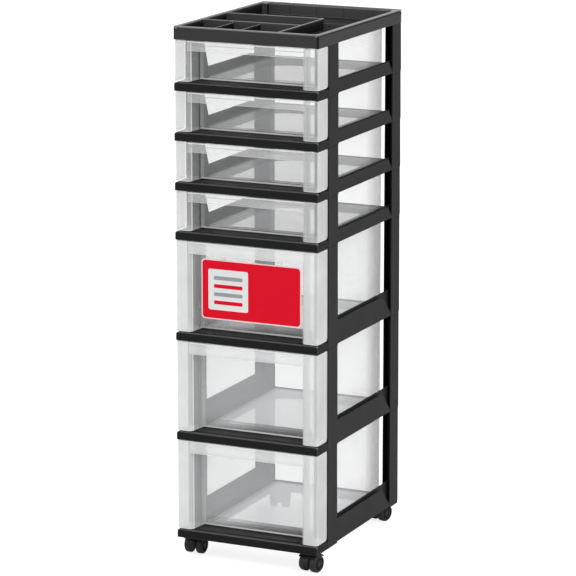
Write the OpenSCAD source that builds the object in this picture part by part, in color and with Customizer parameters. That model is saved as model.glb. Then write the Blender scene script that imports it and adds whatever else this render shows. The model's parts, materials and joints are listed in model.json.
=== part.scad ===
// Rolling drawer tower: shallow and deep clear drawers in an open black frame,
// an organizer tray on top and four twin-wheel casters under the base shelf.
// Millimetres. The origin is on the floor under the middle of the tower, +Z is up,
// the drawer fronts face -Y.

/* [Tower] */
// Width over the two side frames
tower_w = 306; // [280:1:340]
// Depth from the shelf lips to the back of the rear posts
tower_d = 406; // [370:1:440]
// Height step of a tier with a deep drawer
deep_pitch = 202; // [170:1:240]
// Height step of a tier with a shallow drawer
shallow_pitch = 98; // [85:1:120]
// Extra height of the top tier, under the tray
top_extra = 2; // [0:0.5:8]
// Wall thickness of the black frame mouldings
wall = 2.5; // [2:0.1:3]

/* [Shelves] */
// Height of the lip that runs along the front of a shelf
lip_h = 17; // [14:0.5:22]
// Depth of the lip in front of the front posts
lip_d = 50; // [42:1:60]
// Radius of the lip's upper side edges
lip_r = 4; // [2:0.5:6]
// Radius of the lip's upper front edge
lip_edge_r = 2; // [1:0.25:2.5]
// Width of a shelf's side flange, from the outside of the tower
flange_w = 44; // [40:0.5:50]
// Depth of a shelf's front crossmember behind the lip
cross_front = 42; // [34:1:50]
// Depth of a shelf's rear crossmember
cross_rear = 34; // [30:1:42]
// Corner radius of a shelf's opening at the front
opening_front_r = 14; // [8:1:24]
// Corner radius of a shelf's opening at the back
opening_rear_r = 45; // [30:1:55]
// Thickness of a shelf's deck
deck_t = 3; // [2.4:0.1:4]
// Number of stiffening ribs under a shelf's lip
lip_ribs = 5; // [3:1:7]

/* [Side frames] */
// Width of the front post's front face
front_post_w = 30; // [26:0.5:34]
// Depth of the front post's outer face
front_post_d = 45; // [40:1:52]
// Depth of the front post's inner return
front_return_d = 25; // [20:1:30]
// Width of the rear post's back face
rear_post_w = 26.5; // [24:0.5:32]
// Depth of the rear post's outer face
rear_post_d = 44; // [38:1:50]
// Depth of the rear post's inner return
rear_return_d = 19; // [14:1:24]
// Height of the outer rail wall on a deep tier
deep_rail_h = 50; // [40:1:64]
// Height of the outer rail wall on a shallow tier
shallow_rail_h = 28; // [22:1:34]
// How far the inner rail wall stands above the outer one on a deep tier
deep_rail_step = 5; // [2:0.5:10]
// Distance from the outside of the tower to the inner rail wall
rail_depth = 10; // [8:0.5:13]
// Height of the rail's bottom edge above the foot of the posts
rail_lift = 3; // [1:0.5:5]
// How far a post's foot stands proud of the post below, at the back
foot_step = 2; // [1:0.25:3]
// Height of the bevelled foot of a rear post
foot_h = 8; // [5:0.5:12]
// Width of the ledge that carries the shelf
ledge_w = 9; // [6:0.5:12]
// Height of the plug that locks a post into the piece above
plug_h = 8; // [5:0.5:10]
// Width of the plug
plug_w = 12; // [10:0.5:14]
// Clearance between a plug and the post around it
plug_gap = 0.3; // [0.15:0.05:0.5]

/* [Drawers] */
// Wall thickness of the clear drawers
drawer_wall = 2; // [1.6:0.1:2.6]
// Thickness of a drawer's bottom
drawer_floor = 2.2; // [1.8:0.1:3]
// Running gap between a drawer and the shelf that carries it
slide_gap = 0.3; // [0.2:0.05:0.6]
// Gap between a drawer and the front posts on each side
side_gap = 1.5; // [1:0.1:2.5]
// Gap over a closed drawer
top_gap = 1.3; // [0.8:0.1:2.5]
// Gap between a drawer's front pillars and the front posts
pillar_gap = 5; // [3:0.25:7]
// How far a drawer's front panel stands in front of the posts' front faces
panel_gap = 2; // [1:0.25:2.5]
// Gap between a drawer's back wall and the rear crossmember's wall
rear_gap = 12; // [8:0.5:20]
// Width of the two pillars of a drawer's front
pillar_w = 33.5; // [32:0.5:38]
// How far a pillar's inner side leans towards the middle at the back
pillar_flare = 6.5; // [3:0.5:9]
// Gap between a pillar's foot and the shelf lip
pillar_lift = 1.7; // [1:0.1:3]
// Radius of a pillar's outer front edge
pillar_r = 6; // [4:0.5:9]
// Radius of a pillar's inner front edge
pillar_inner_r = 9; // [5:0.5:11]
// Radius of a pillar's bevelled lower rear corner
pillar_foot_r = 8; // [5:0.5:12]
// Corner radius at the back of a drawer
drawer_r = 12; // [8:1:20]
// Height of a deep drawer's handle skirt
deep_skirt_h = 24; // [18:0.5:30]
// Height of a shallow drawer's handle skirt
shallow_skirt_h = 19; // [14:0.5:24]
// Share of the skirt's height that its upper, set-back band takes
band_share = 0.38; // [0.25:0.01:0.5]
// How far the skirt's upper band is set back
band_step = 1; // [0.5:0.1:1.5]
// Inset of the raised ridge on a drawer's bottom
ridge_inset = 14; // [10:1:20]
// Height of the raised ridge on a drawer's bottom
ridge_h = 1.4; // [0.8:0.1:2.5]
// Width of the raised ridge on a drawer's bottom
ridge_w = 3; // [2:0.5:5]

/* [Tray] */
// Height of the tray's outer wall
tray_h = 26.5; // [24:0.5:32]
// Wall thickness of the tray
tray_wall = 2.2; // [1.8:0.1:2.4]
// Width of the tray's flat rim
rim_w = 6.5; // [6:0.25:9]
// Corner radius of the tray's basin
basin_r = 8; // [5:0.5:14]
// Thickness of the tray's dividers
divider_t = 2.4; // [1.8:0.1:3]
// Distance from the tray's front to its first cross divider
divider_1 = 118; // [100:1:135]
// Distance from the tray's front to its second cross divider
divider_2 = 222; // [205:1:240]
// Distance from the middle to the front-to-back divider, on the right
divider_x = 62; // [50:1:75]
// Widths of the first two small cells, from the left wall
cell_w = [64, 55]; // [50:1:70]
// How far the dividers end below the rim
divider_drop = 0.8; // [0.4:0.1:2]
// How far the small cells' partitions end below the rim
partition_drop = 4; // [2:0.5:8]
// How far the low step behind the long cell ends below the rim
step_drop = 10; // [7:0.5:14]
// Number of ribs on the tray's back wall
back_ribs = 4; // [2:1:6]
// Depth of the ribs on the tray's back wall
back_rib_d = 1.5; // [0.8:0.1:3]

/* [Casters] */
// Height of the base shelf above the floor
caster_h = 40.5; // [40.5:0.5:50]
// Radius of a wheel
wheel_r = 18; // [16:0.5:18]
// Width of a wheel
wheel_w = 13; // [10:0.5:15]
// Distance of the wheel axle behind the swivel axis
trail = 8; // [5:0.5:12]
// Radius of the stem that plugs into the base
stem_r = 4; // [3:0.25:4.5]
// Radius of the axle
axle_r = 2.5; // [2:0.25:3]
// Radial running clearance of stem and axle
fit = 0.05; // [0.02:0.01:0.08]
// Thickness of the hood over the wheels
hood_t = 1.8; // [1.5:0.1:2]
// Gap between the hood and the wheels
hood_gap = 0.8; // [0.5:0.1:1]
// Width of the hood's middle web
web_w = 12; // [11:0.5:14]
// Height of the hood's lower edge above the axle
hood_lift = 13; // [12:0.5:15]
// Radius of a wheel's outer tread edge
tread_r = 4; // [2:0.5:5]
// Angle by which each caster has swivelled: front left, front right, rear left, rear right
caster_turn = [0, 168, 12, -19]; // [-180:1:180]
// Distance of the front casters from the side of the tower
front_caster_x = 22; // [22:0.5:28]
// Distance of the rear casters from the side of the tower
rear_caster_x = 41; // [37:0.5:44]
// Distance of the front casters behind the lip
front_caster_y = 32; // [31:0.5:36]
// Distance of the rear casters in front of the back plane
rear_caster_y = 11; // [11:0.5:26]

/* [Card] */
// Width of the display card
card_w = 214; // [150:1:215]
// Height of the display card
card_h = 119.5; // [90:0.5:125]
// Sideways offset of the display card from the middle
card_x = 10; // [0:0.5:10]
// Thickness of the display card
card_t = 0.8; // [0.5:0.1:1.5]
// Corner radius of the display card
card_r = 6; // [3:0.5:12]
// Gap between the card's upper edge and the handle skirt
card_drop = 7; // [4:0.5:15]
// Width of the two tabs that hold the card behind the handle skirt
tab_w = 14; // [8:1:24]
// Distance between the two tabs
tab_pitch = 120; // [60:5:160]
// How far the tabs reach up behind the skirt
tab_rise = 9; // [6:0.5:12]

/* [Hidden] */
$fn = 48;

black = [0.16, 0.16, 0.165];
clear = [0.86, 0.88, 0.90, 0.55];
steel = [0.6, 0.6, 0.62];
tiers = 7;
shallow_tiers = 4;
half_w = tower_w / 2;
wheel_in_x = web_w / 2 + 0.5;
// How far a rear caster turned by t reaches behind the rear posts
function reach(t) = (trail + wheel_r - tread_r) * cos(t)
    + (wheel_in_x + wheel_w - tread_r) * abs(sin(t)) + tread_r - rear_caster_y;
overhang = max(0, reach(caster_turn[2]), reach(caster_turn[3]));
front_y = -(tower_d + overhang) / 2;
rear_y = front_y + tower_d;
post_y = front_y + lip_d;
eps = 0.01;
plug_t = 2;

// Height of a tier, from the lip bottom of its shelf to the lip bottom above it
function tier_h(k) = k > shallow_tiers ? deep_pitch : k > 1 ? shallow_pitch : shallow_pitch + top_extra;
// Lip bottom of the shelf under tier k
function tier_z(k) = k >= tiers ? caster_h : tier_z(k + 1) + tier_h(k + 1);
function is_deep(k) = k > shallow_tiers;
tray_z = tier_z(1) + tier_h(1);
drawer_half = half_w - front_post_w - side_gap;
pillar_rear = post_y - pillar_gap;
panel_y = post_y - panel_gap;
drawer_rear = rear_y - wall - rear_gap;
stem_flange_t = 1.5;
axle_z = wheel_r;

// Filled rectangle with its own corner radius at the front and at the back
module slot_outline(x, y0, y1, front_r, rear_r) {
    translate([-x, y0 + front_r]) square([2 * x, y1 - y0 - front_r - rear_r]);
    translate([-x + front_r, y0]) square([2 * (x - front_r), front_r + eps]);
    translate([-x + rear_r, y1 - rear_r - eps]) square([2 * (x - rear_r), rear_r + eps]);
    for (side = [-1, 1]) {
        translate([side * (x - front_r), y0 + front_r]) circle(front_r);
        translate([side * (x - rear_r), y1 - rear_r]) circle(rear_r);
    }
}

// Upright plate that follows an outline in Y and Z, with its thickness along +X
module side_plate(x, t, outline) {
    translate([x, 0, 0]) rotate([90, 0, 90]) linear_extrude(t) polygon(outline);
}

// Upright plate that follows an outline in X and Z, with its thickness along +Y
module cross_plate(y, t, outline) {
    translate([0, y + t, 0]) rotate([90, 0, 0]) linear_extrude(t) polygon(outline);
}

// ---------------------------------------------------------------- shelves

// Front view of the lip, rounded along its upper side edges
module lip_outline(inset) {
    w = half_w - inset;
    h = lip_h - inset;
    r = lip_r - min(inset, lip_r / 2);
    translate([-w, 0]) square([2 * w, h - r]);
    translate([-w + r, 0]) square([2 * (w - r), h]);
    for (side = [-1, 1]) translate([side * (w - r), h - r]) circle(r);
}

module lip_shell() {
    difference() {
        intersection() {
            translate([0, post_y, 0]) rotate([90, 0, 0]) linear_extrude(lip_d) lip_outline(0);
            translate([-half_w, 0, 0]) rotate([90, 0, 90]) linear_extrude(tower_w) lip_side_outline();
        }
        translate([0, post_y + eps, -eps]) rotate([90, 0, 0])
            linear_extrude(lip_d - wall + eps) lip_outline(wall);
    }
}

// Side view of the lip, rounded along its upper front edge
module lip_side_outline() {
    translate([front_y, 0]) square([lip_d, lip_h - lip_edge_r]);
    translate([front_y + lip_edge_r, 0]) square([lip_d - lip_edge_r, lip_h]);
    translate([front_y + lip_edge_r, lip_h - lip_edge_r]) circle(lip_edge_r);
}

// Flat ring behind the lip, cut back round the posts and the rails
module deck_outline() {
    front_x = half_w - front_post_w - plug_gap;
    rail_x = half_w - rail_depth - plug_gap;
    rear_x = half_w - rear_post_w - plug_gap;
    rail_front = post_y + front_post_d + foot_step + plug_gap;
    rail_rear = rear_y - rear_post_d - plug_gap;
    translate([-front_x, post_y - wall]) square([2 * front_x, rail_front - post_y + wall + eps]);
    translate([-rail_x, rail_front]) square([2 * rail_x, rail_rear - rail_front]);
    translate([-rear_x, rail_rear - eps]) square([2 * rear_x, rear_y - foot_step - rail_rear + eps]);
}

opening_x = half_w - flange_w;
opening_y0 = post_y + cross_front;
opening_y1 = rear_y - cross_rear;

module ring_opening(grow) {
    slot_outline(opening_x + grow, opening_y0 - grow, opening_y1 + grow, opening_front_r + grow,
        opening_rear_r + grow);
}

module shelf(z) {
    color(black) translate([0, 0, z]) {
        lip_shell();
        translate([0, 0, lip_h - deck_t]) linear_extrude(deck_t) difference() {
            deck_outline();
            ring_opening(0);
        }
        // collar that hangs from the edge of the opening
        translate([0, 0, rail_lift]) linear_extrude(lip_h - rail_lift - deck_t / 2) difference() {
            ring_opening(wall);
            ring_opening(0);
        }
        // wall along the back edge
        rear_x = half_w - rear_post_w - plug_gap;
        translate([-rear_x, rear_y - foot_step - wall, 0]) cube([2 * rear_x, wall, lip_h - deck_t / 2]);
        // ribs under the lip
        rib_step = (tower_w - 2 * front_post_w) / (lip_ribs - 1);
        for (i = [0 : lip_ribs - 1])
            translate([-half_w + front_post_w + i * rib_step - wall / 2, front_y + wall - eps, rail_lift])
                cube([wall, lip_d - wall + 2 * eps, lip_h - rail_lift - deck_t / 2]);
    }
}

caster_xy = [
    [-half_w + front_caster_x, front_y + front_caster_y],
    [half_w - front_caster_x, front_y + front_caster_y],
    [-half_w + rear_caster_x, rear_y - rear_caster_y],
    [half_w - rear_caster_x, rear_y - rear_caster_y]
];
socket_r = stem_r + 4;
stem_top = lip_h - deck_t - 1;

module base_shelf() {
    difference() {
        union() {
            shelf(caster_h);
            color(black) for (p = caster_xy)
                translate([p.x, p.y, caster_h]) cylinder(r = socket_r, h = lip_h - deck_t / 2);
        }
        color(black) for (p = caster_xy)
            translate([p.x, p.y, caster_h - eps]) cylinder(r = stem_r + fit, h = stem_top + eps);
    }
}

// ------------------------------------------------------------ side frames

// Side frame on the right; h is its height, rail and step shape its bottom rail
module side_frame(h, rail, step, gusset) {
    x_out = half_w - wall;
    y0 = post_y;
    y1 = y0 + front_post_d;
    y2 = rear_y - rear_post_d;
    y3 = rear_y - foot_step;
    x_front = half_w - front_post_w;
    x_rear = half_w - rear_post_w;
    x_rail = half_w - rail_depth;
    rail_slope = rail - 2 * rail_lift - foot_h / 2;

    // front post: outer wall, front wall and inner return
    side_plate(x_out, wall, [[y0, 0], [y1 + foot_step, 0], [y1, h], [y0, h]]);
    cross_plate(y0, wall, [[x_front, 0], [half_w, 0], [half_w, h], [x_front, h]]);
    side_plate(x_front, wall, [
        [y0, 0], [gusset ? y1 : y0 + front_return_d, 0],
        [gusset ? y1 : y0 + front_return_d, gusset ? rail : 0],
        [y0 + front_return_d, gusset ? h * 0.8 : 0], [y0 + front_return_d, h], [y0, h]
    ]);

    // rear post: outer wall with its bevelled foot, back wall and inner return
    side_plate(x_out, wall, [[y2, 0], [y3, 0], [rear_y, foot_h], [y3, h], [y2, h]]);
    side_plate(x_rear, wall, [
        [y3 - rear_return_d, 0], [y3, 0], [rear_y, foot_h], [y3, h], [y3 - rear_return_d, h]
    ]);
    rear_wall(x_rear, half_w, y3, h);

    // rail: outer wall with its cut-back rear end, bead along the bottom
    side_plate(x_out, wall, [
        [y1 - eps, rail_lift], [y2 + eps, rail_lift], [y2 + eps, 2 * rail_lift],
        [y2 - rail_slope, rail], [y1 - eps, rail]
    ]);
    translate([x_out - wall / 2, y1, rail_lift]) cube([wall / 2 + eps, y2 - y1, wall]);

    // inner rail wall, floor of the rail and ledge for the shelf
    rail_y0 = y0 + wall + 2 * plug_gap + plug_w;
    rail_y1 = y3 - wall - 2 * plug_gap - plug_w;
    ledge_top = lip_h - deck_t;
    side_plate(x_rail, wall, [
        [rail_y0, rail_lift], [rail_y1, rail_lift], [rail_y1, rail + step], [rail_y0, rail + step]
    ]);
    translate([x_rail, rail_y0, ledge_top - wall]) cube([rail_depth - wall / 2, rail_y1 - rail_y0, wall]);
    translate([x_rail - ledge_w, y1 + foot_step, ledge_top - wall])
        cube([ledge_w + eps, y2 - y1 - foot_step, wall]);

    // plugs that hold the piece above
    post_plug(y0 + wall, 1, h);
    post_plug(y3 - wall, -1, h);
}

// Back wall of a rear post: it leans out to its widest line just above the foot
module rear_wall(x0, x1, y, h) {
    side_plate(x0, x1 - x0, [
        [y - wall, 0], [y, 0], [rear_y, foot_h], [y, h], [y - wall, h], [rear_y - wall, foot_h]
    ]);
}

// Square tube that rises out of a post; its foot is joined to the post's walls.
// It starts at the inner face y of the post and runs towards dir, -1 or +1.
module post_plug(y, dir, h) {
    x = half_w - wall - plug_gap - plug_w;
    translate([x, y + dir * (plug_gap + plug_w / 2), 0]) difference() {
        union() {
            translate([0, -plug_w / 2, h - plug_h]) cube([plug_w, plug_w, 2 * plug_h]);
            translate([0, -plug_w / 2 - (dir > 0 ? 2 * plug_gap : 0), h - plug_h])
                cube([plug_w + 2 * plug_gap, plug_w + 2 * plug_gap, plug_h]);
        }
        translate([plug_t, plug_t - plug_w / 2, h - plug_h - eps])
            cube([plug_w - 2 * plug_t, plug_w - 2 * plug_t, 2 * plug_h + 2 * eps]);
    }
}

module right_frame(k) {
    rail = is_deep(k) ? deep_rail_h : shallow_rail_h;
    step = is_deep(k) ? deep_rail_step : 0;
    color(black) translate([0, 0, tier_z(k)]) side_frame(tier_h(k), rail, step, !is_deep(k));
}

module left_frame(k) {
    mirror([1, 0, 0]) right_frame(k);
}

// ---------------------------------------------------------------- drawers

// Plan of one pillar of the drawer's front, on the right, drawn in by an inset.
// Its inner side leans by pillar_flare and runs on to the front panel.
module pillar_outline(inset) {
    lean = atan(pillar_flare / (panel_y - front_y));
    y0 = front_y + inset;
    y1 = panel_y + (inset > 0 ? 0 : drawer_wall);
    x0 = half_w - pillar_w + inset / cos(lean) - inset * tan(lean);
    x1 = half_w - inset;
    r_in = pillar_inner_r - inset;
    r_out = pillar_r - inset;
    cx = x0 + r_in * (1 - sin(lean)) / cos(lean);
    polygon([
        [cx, y0], [x1 - r_out, y0], [x1 - r_out, y0 + r_out], [x1, y0 + r_out], [x1, pillar_rear + inset],
        [drawer_half, pillar_rear + inset], [drawer_half, y1], [x0 - (y1 - y0) * tan(lean), y1],
        [cx - r_in * cos(lean), y0 + r_in - r_in * sin(lean)], [cx, y0 + r_in]
    ]);
    translate([cx, y0 + r_in]) circle(r_in);
    translate([x1 - r_out, y0 + r_out]) circle(r_out);
}

module pillar(h) {
    difference() {
        translate([0, 0, pillar_lift]) linear_extrude(h - pillar_lift) pillar_outline(0);
        translate([0, 0, pillar_lift + drawer_wall])
            linear_extrude(h - pillar_lift - 2 * drawer_wall) pillar_outline(drawer_wall);
        // rounded lower rear corner
        translate([half_w - pillar_w, pillar_rear, pillar_lift]) rotate([90, 0, 90])
            linear_extrude(pillar_w + eps) difference() {
                translate([-pillar_foot_r, -eps]) square([pillar_foot_r + eps, pillar_foot_r + eps]);
                translate([-pillar_foot_r, pillar_foot_r]) circle(pillar_foot_r);
            }
    }
}

module drawer(k) {
    h = tier_h(k) - lip_h - slide_gap - top_gap;
    skirt = is_deep(k) ? deep_skirt_h : shallow_skirt_h;
    color(clear) translate([0, 0, tier_z(k) + lip_h + slide_gap]) {
        // box: bottom, clear front panel, sides and back
        difference() {
            linear_extrude(h) slot_outline(drawer_half, panel_y, drawer_rear, drawer_wall, drawer_r);
            translate([0, 0, drawer_floor]) linear_extrude(h)
                slot_outline(drawer_half - drawer_wall, panel_y + drawer_wall, drawer_rear - drawer_wall,
                    drawer_wall, drawer_r - drawer_wall);
        }
        // ridge round the middle of the bottom
        ridge_y = panel_y + 2 * ridge_inset;
        translate([0, 0, drawer_floor - eps]) linear_extrude(ridge_h + eps) difference() {
            slot_outline(drawer_half - ridge_inset, ridge_y, drawer_rear - ridge_inset,
                drawer_r, 2 * drawer_r);
            slot_outline(drawer_half - ridge_inset - ridge_w, ridge_y + ridge_w,
                drawer_rear - ridge_inset - ridge_w, drawer_r - ridge_w, 2 * drawer_r - ridge_w);
        }
        pillar(h);
        mirror([1, 0, 0]) pillar(h);
        handle(h, skirt);
    }
}

// Handle between the pillars: a flat top and the skirt that the fingers reach behind,
// whose upper band is set back
module handle(h, skirt) {
    x = half_w - pillar_w + pillar_inner_r;
    band = skirt * band_share;
    translate([-x, front_y + band_step, h - drawer_wall])
        cube([2 * x, panel_y - front_y - band_step + drawer_wall, drawer_wall]);
    translate([-x, front_y + band_step, h - band - drawer_wall])
        cube([2 * x, drawer_wall, band + drawer_wall]);
    translate([-x, front_y, h - skirt]) cube([2 * x, drawer_wall, skirt - band]);
}

// Card that hangs from two tabs on the back of the top deep drawer's handle skirt
module display_card() {
    k = shallow_tiers + 1;
    skirt_z = tier_z(k) + tier_h(k) - top_gap - deep_skirt_h;
    color([0.83, 0.05, 0.13]) translate([card_x, front_y + drawer_wall + card_t, skirt_z])
        rotate([90, 0, 0]) linear_extrude(card_t) {
            slot_outline(card_w / 2, -card_drop - card_h, -card_drop, card_r, card_r);
            for (side = [-1, 1])
                translate([side * tab_pitch / 2 - tab_w / 2, -card_drop - card_r])
                    square([tab_w, card_r + card_drop + tab_rise]);
        }
}

// ------------------------------------------------------------------- tray

module tray_outline(inset, r) {
    slot_outline(half_w - inset, front_y + inset, rear_y - inset, r, r);
}

module tray() {
    color(black) translate([0, 0, tray_z]) {
        difference() {
            linear_extrude(tray_h) tray_outline(0, 1);
            translate([0, 0, tray_wall]) linear_extrude(tray_h) tray_outline(rim_w, basin_r);
            // groove under the rim
            translate([0, 0, -eps]) linear_extrude(tray_h - tray_wall) difference() {
                tray_outline(tray_wall, 1);
                tray_outline(rim_w - tray_wall, basin_r + tray_wall);
            }
            tray_pockets(0);
        }
        difference() {
            union() {
                tray_pockets(tray_wall);
                tray_dividers();
            }
            tray_pockets(0);
        }
    }
}

module tray_dividers() {
    x0 = -half_w + rim_w - eps;
    y0 = front_y + rim_w - eps;
    y1 = front_y + divider_1;
    y2 = front_y + divider_2;
    z0 = tray_wall - eps;
    top = tray_h - divider_drop;
    for (y = [y1, y2]) translate([x0, y, z0]) cube([divider_x - x0, divider_t, top - z0]);
    translate([divider_x, y0, z0]) cube([divider_t, y2 + divider_t - y0, top - z0]);
    // low partitions of the small cells, and the low step behind the long cell
    for (x = [x0 + cell_w[0], x0 + cell_w[0] + cell_w[1] + divider_t])
        translate([x, y0, z0]) cube([divider_t, y1 - y0 + eps, tray_h - partition_drop - z0]);
    translate([divider_x, y2, z0]) cube([-x0 - divider_x, divider_t, tray_h - step_drop - z0]);
    // ribs on the back wall
    rib_step = 2 * (half_w - rim_w) / (back_ribs + 1);
    for (i = [1 : back_ribs])
        translate([-half_w + rim_w + i * rib_step, rear_y - rim_w - back_rib_d, z0])
            cube([divider_t, back_rib_d + eps, top - z0]);
}

// Hollows over the plugs of the top side frames, or the columns round them.
// The rear columns reach almost to the rim.
module tray_pockets(grow) {
    side_x = half_w - wall - 2 * plug_gap - plug_w;
    size = plug_w + 2 * plug_gap;
    rise = plug_h + plug_gap + grow;
    for (side = [0, 1]) mirror([side, 0, 0]) {
        translate([side_x - grow, post_y + wall - grow, grow > 0 ? 0 : -eps])
            cube([size + grow, size + 2 * grow, rise]);
        translate([side_x - grow, rear_y - foot_step - wall - size - grow, grow > 0 ? 0 : -eps])
            cube([size + grow, size + 2 * grow, grow > 0 ? tray_h - 2 * divider_drop : rise]);
    }
}

// ---------------------------------------------------------------- casters

hood_r = wheel_r + hood_gap + hood_t;
hood_top = caster_h - stem_flange_t - 0.3;
head_z = axle_z + axle_r + fit + 3;
stem_z1 = caster_h + stem_top - 0.5;

module caster_at(i) {
    translate([caster_xy[i].x, caster_xy[i].y, 0]) rotate([0, 0, caster_turn[i]]) children();
}

module stem() {
    color(steel) {
        translate([0, 0, head_z]) cylinder(r = stem_r, h = stem_z1 - 1 - head_z);
        translate([0, 0, caster_h - stem_flange_t]) cylinder(r = stem_r + 3, h = stem_flange_t);
        // bevelled point
        translate([0, 0, stem_z1 - 1]) cylinder(r1 = stem_r, r2 = stem_r - 1, h = 1);
    }
}

// Outline of the hood's side: an arch over the wheels, open towards the floor
module hood_arch(r, lift) {
    intersection() {
        translate([trail, axle_z]) circle(r);
        translate([trail - 2 * r, axle_z + lift]) square([4 * r, 2 * r]);
    }
}

module hood() {
    arch_w = 2 * (wheel_in_x + wheel_w);
    color(black) difference() {
        union() {
            // arch over both wheels
            difference() {
                translate([-arch_w / 2, 0, 0]) rotate([90, 0, 90])
                    linear_extrude(arch_w) hood_arch(hood_r, hood_lift);
                translate([-arch_w / 2 - eps, 0, 0]) rotate([90, 0, 90])
                    linear_extrude(arch_w + 2 * eps) hood_arch(hood_r - hood_t, 0);
            }
            // middle web from the stem to the axle
            translate([-web_w / 2, 0, 0]) rotate([90, 0, 90]) linear_extrude(web_w) {
                hood_arch(hood_r, -axle_r - 2);
                translate([trail, axle_z]) circle(axle_r + 5);
                translate([-stem_r - 2, head_z]) square([2 * (stem_r + 2), hood_top - head_z]);
            }
        }
        // bore of the swivel
        translate([0, 0, head_z - 1]) cylinder(r = stem_r + fit, h = caster_h);
        // bore of the axle
        translate([-arch_w, trail, axle_z]) rotate([0, 90, 0]) cylinder(r = axle_r + fit, h = 2 * arch_w);
    }
}

module axle() {
    half = wheel_in_x + wheel_w + 0.4;
    color(steel) translate([-half, trail, axle_z]) rotate([0, 90, 0]) cylinder(r = axle_r, h = 2 * half);
}

// Wheel with a rounded outer tread edge and a dished outer face, side is -1 or +1
module wheel(side) {
    bore = axle_r + fit;
    edge = tread_r / 2;
    color(black) translate([side * wheel_in_x, trail, axle_z]) rotate([0, side * 90, 0])
        rotate_extrude() difference() {
        union() {
            translate([0, edge]) square([wheel_r, wheel_w - edge - tread_r]);
            square([wheel_r - edge, wheel_w / 2]);
            translate([0, wheel_w / 2]) square([wheel_r - tread_r, wheel_w / 2]);
            translate([wheel_r - edge, edge]) circle(edge);
            translate([wheel_r - tread_r, wheel_w - tread_r]) circle(tread_r);
        }
        translate([-eps, -eps]) square([bore + eps, wheel_w + 2 * eps]);
        translate([bore + 3, wheel_w - 2]) square([wheel_r - tread_r - bore - 4, 2 + eps]);
    }
}

module stem_at(i) { caster_at(i) stem(); }
module hood_at(i) { caster_at(i) hood(); }
module axle_at(i) { caster_at(i) axle(); }
module wheel_at(i, side) { caster_at(i) wheel(side); }

// ------------------------------------------------------------------ nodes

tray();  // top_tray
shelf(tier_z(1));  // shelf_1
shelf(tier_z(2));  // shelf_2
shelf(tier_z(3));  // shelf_3
shelf(tier_z(4));  // shelf_4
shelf(tier_z(5));  // shelf_5
shelf(tier_z(6));  // shelf_6
base_shelf();
left_frame(1);  // left_frame_1
left_frame(2);  // left_frame_2
left_frame(3);  // left_frame_3
left_frame(4);  // left_frame_4
left_frame(5);  // left_frame_5
left_frame(6);  // left_frame_6
left_frame(7);  // left_frame_7
right_frame(1);  // right_frame_1
right_frame(2);  // right_frame_2
right_frame(3);  // right_frame_3
right_frame(4);  // right_frame_4
right_frame(5);  // right_frame_5
right_frame(6);  // right_frame_6
right_frame(7);  // right_frame_7
drawer(1);  // drawer_1
drawer(2);  // drawer_2
drawer(3);  // drawer_3
drawer(4);  // drawer_4
drawer(5);  // drawer_5
drawer(6);  // drawer_6
drawer(7);  // drawer_7
display_card();
stem_at(0);  // caster_fl_stem
hood_at(0);  // caster_fl_hood
axle_at(0);  // caster_fl_axle
wheel_at(0, 1);  // caster_fl_wheel_in
wheel_at(0, -1);  // caster_fl_wheel_out
stem_at(1);  // caster_fr_stem
hood_at(1);  // caster_fr_hood
axle_at(1);  // caster_fr_axle
wheel_at(1, 1);  // caster_fr_wheel_in
wheel_at(1, -1);  // caster_fr_wheel_out
stem_at(2);  // caster_rl_stem
hood_at(2);  // caster_rl_hood
axle_at(2);  // caster_rl_axle
wheel_at(2, 1);  // caster_rl_wheel_in
wheel_at(2, -1);  // caster_rl_wheel_out
stem_at(3);  // caster_rr_stem
hood_at(3);  // caster_rr_hood
axle_at(3);  // caster_rr_axle
wheel_at(3, -1);  // caster_rr_wheel_in
wheel_at(3, 1);  // caster_rr_wheel_out
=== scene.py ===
"""Look of the rolling drawer tower: clear drawers, black frame, organizer tray and casters.

Metres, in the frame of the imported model: origin on the floor, +Z up, drawer fronts to -Y.
"""

from __future__ import annotations

import json
import logging
import math
from dataclasses import dataclass, field
from enum import Enum, IntEnum

import bmesh
import bpy
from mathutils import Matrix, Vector

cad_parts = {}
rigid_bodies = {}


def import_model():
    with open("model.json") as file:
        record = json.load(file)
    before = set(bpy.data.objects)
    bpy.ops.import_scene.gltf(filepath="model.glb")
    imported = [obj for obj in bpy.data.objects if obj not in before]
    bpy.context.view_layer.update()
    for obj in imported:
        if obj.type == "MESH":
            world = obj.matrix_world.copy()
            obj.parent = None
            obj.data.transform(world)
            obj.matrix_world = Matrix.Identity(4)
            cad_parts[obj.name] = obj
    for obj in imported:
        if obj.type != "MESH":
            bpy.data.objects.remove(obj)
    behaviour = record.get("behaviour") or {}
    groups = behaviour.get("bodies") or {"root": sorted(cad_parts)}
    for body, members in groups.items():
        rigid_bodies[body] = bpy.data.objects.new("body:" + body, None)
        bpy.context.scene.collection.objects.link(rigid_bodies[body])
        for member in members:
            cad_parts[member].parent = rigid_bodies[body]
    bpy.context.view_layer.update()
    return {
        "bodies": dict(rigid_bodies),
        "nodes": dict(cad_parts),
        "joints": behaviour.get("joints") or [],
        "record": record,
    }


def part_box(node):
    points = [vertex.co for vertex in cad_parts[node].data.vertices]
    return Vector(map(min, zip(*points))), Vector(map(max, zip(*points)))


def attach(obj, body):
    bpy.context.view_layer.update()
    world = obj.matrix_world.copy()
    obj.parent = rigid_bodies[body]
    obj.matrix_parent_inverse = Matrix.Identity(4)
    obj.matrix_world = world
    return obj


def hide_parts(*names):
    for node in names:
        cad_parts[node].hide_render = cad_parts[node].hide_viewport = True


LOG = logging.getLogger("drawer_tower")

Point = tuple[float, float]
Triple = tuple[float, float, float]
Socket = bpy.types.NodeSocket
Node = bpy.types.Node
Material = bpy.types.Material
Piece = bpy.types.Object
Verts = list[bmesh.types.BMVert]

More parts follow.
